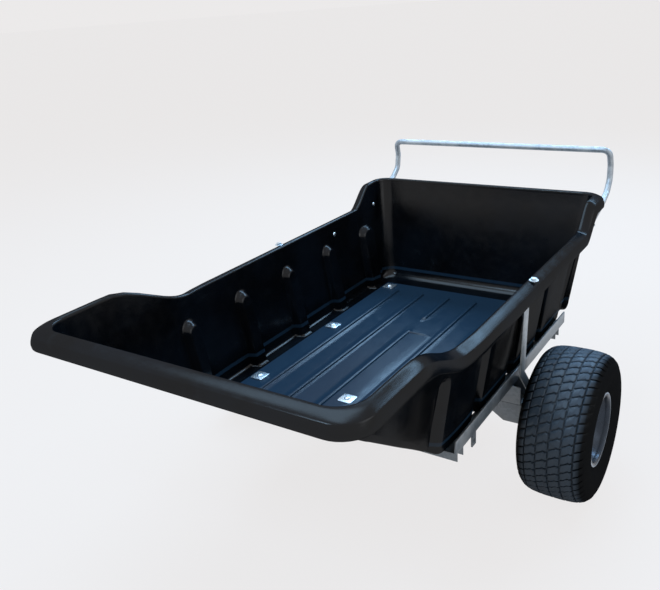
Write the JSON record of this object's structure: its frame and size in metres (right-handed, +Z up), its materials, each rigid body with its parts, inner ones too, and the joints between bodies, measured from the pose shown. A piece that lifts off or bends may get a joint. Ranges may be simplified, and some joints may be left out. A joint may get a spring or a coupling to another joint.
{
  "type": "all-terrain vehicle trailer",
  "caption": "Tipping trailer for an all-terrain vehicle: moulded black tub with a pouring lip on a galvanised frame, turf tyres, push handle, drawbar with swivel fork hitch and prop stand.",
  "frame": {"origin": "on the ground below the middle of the whole trailer's box, with the drawbar level", "axes": "+Y forward to the hitch, +X to the right when looking forward, +Z up"},
  "size_m": [1.371, 2.534, 0.8787],
  "materials": {
    "black_polyethylene": "satin moulded polyethylene, lightly scuffed",
    "galvanised_steel": "hot-dip galvanised, mottled",
    "zinc_plated": "bright zinc plating",
    "rim_silver": "silver-grey paint, satin",
    "tyre_rubber": "matt black rubber",
    "pad_rubber": "matt black rubber",
    "bearing_steel": "ground steel"
  },
  "bodies": {
    "drawbar": {"drawbar": "galvanised_steel", "pivot_sleeve": "galvanised_steel", "saddle": "galvanised_steel", "saddle_pad": "pad_rubber", "latch_block": "galvanised_steel", "swivel_housing": "galvanised_steel", "stand_bracket": "galvanised_steel", "stand_bolt": "zinc_plated"},
    "latch": {"latch_bolt": "zinc_plated"},
    "hitch_fork": {"hitch_fork": "galvanised_steel", "swivel_bolt": "zinc_plated"},
    "hitch_pin": {"hitch_pin": "zinc_plated"},
    "stand": {"stand_leg": "galvanised_steel"},
    "wheel_left": {"tyre_left": "tyre_rubber", "rim_left": "rim_silver", "hub_left": "zinc_plated", "hub_cap_left": "zinc_plated", "bearing_inner_left": "bearing_steel", "bearing_outer_left": "bearing_steel"},
    "wheel_right": {"tyre_right": "tyre_rubber", "rim_right": "rim_silver", "hub_right": "zinc_plated", "hub_cap_right": "zinc_plated", "bearing_inner_right": "bearing_steel", "bearing_outer_right": "bearing_steel"},
    "tub": {"axle_beam": "galvanised_steel", "axle_hanger_left": "galvanised_steel", "axle_hanger_right": "galvanised_steel", "cross_member_front": "galvanised_steel", "cross_member_rear": "galvanised_steel", "floor_bearer": "galvanised_steel", "floor_clamp_1": "zinc_plated", "floor_clamp_2": "zinc_plated", "floor_clamp_3": "zinc_plated", "floor_clamp_4": "zinc_plated", "floor_clamp_5": "zinc_plated", "floor_clamp_6": "zinc_plated", "floor_clamp_7": "zinc_plated", "handle": "galvanised_steel", "handle_bolt_front_left": "zinc_plated", "handle_bolt_front_right": "zinc_plated", "handle_bolt_rear_left": "zinc_plated", "handle_bolt_rear_right": "zinc_plated", "latch_lug": "galvanised_steel", "pivot_lug_left": "galvanised_steel", "pivot_lug_right": "galvanised_steel", "pivot_pin": "zinc_plated", "rail_left": "galvanised_steel", "rail_right": "galvanised_steel", "rim_bolt_left": "zinc_plated", "rim_bolt_right": "zinc_plated", "spindle_nut_left": "zinc_plated", "spindle_nut_right": "zinc_plated", "strap_bolt_left": "zinc_plated", "strap_bolt_right": "zinc_plated", "strap_left": "galvanised_steel", "strap_right": "galvanised_steel", "stub_axle_left": "galvanised_steel", "stub_axle_right": "galvanised_steel", "tub": "black_polyethylene"}
  },
  "joints": [
    {"name": "tub_tip", "type": "hinge", "parent": "drawbar", "child": "tub", "pos_m": [0, -0.24795, 0.226], "axis": [1, 0, 0], "range_deg": [0, 35]},
    {"name": "wheel_spin_left", "type": "hinge", "parent": "tub", "child": "wheel_left", "pos_m": [-0.583, -0.24795, 0.226], "axis": [1, 0, 0], "continuous": true},
    {"name": "wheel_spin_right", "type": "hinge", "parent": "tub", "child": "wheel_right", "pos_m": [0.583, -0.24795, 0.226], "axis": [1, 0, 0], "continuous": true},
    {"name": "hitch_swivel", "type": "hinge", "parent": "drawbar", "child": "hitch_fork", "pos_m": [0, 1.18295, 0.226], "axis": [0, 1, 0], "continuous": true},
    {"name": "hitch_pin_lift", "type": "slide", "parent": "hitch_fork", "child": "hitch_pin", "axis": [0, 0, 1], "range_m": [0, 0.07]},
    {"name": "stand_fold", "type": "hinge", "parent": "drawbar", "child": "stand", "pos_m": [0, 0.90205, 0.163], "axis": [-1, 0, 0], "range_deg": [0, 98]},
    {"name": "latch_slide", "type": "slide", "parent": "drawbar", "child": "latch", "axis": [1, 0, 0], "range_m": [0, 0.03]}
  ]
}
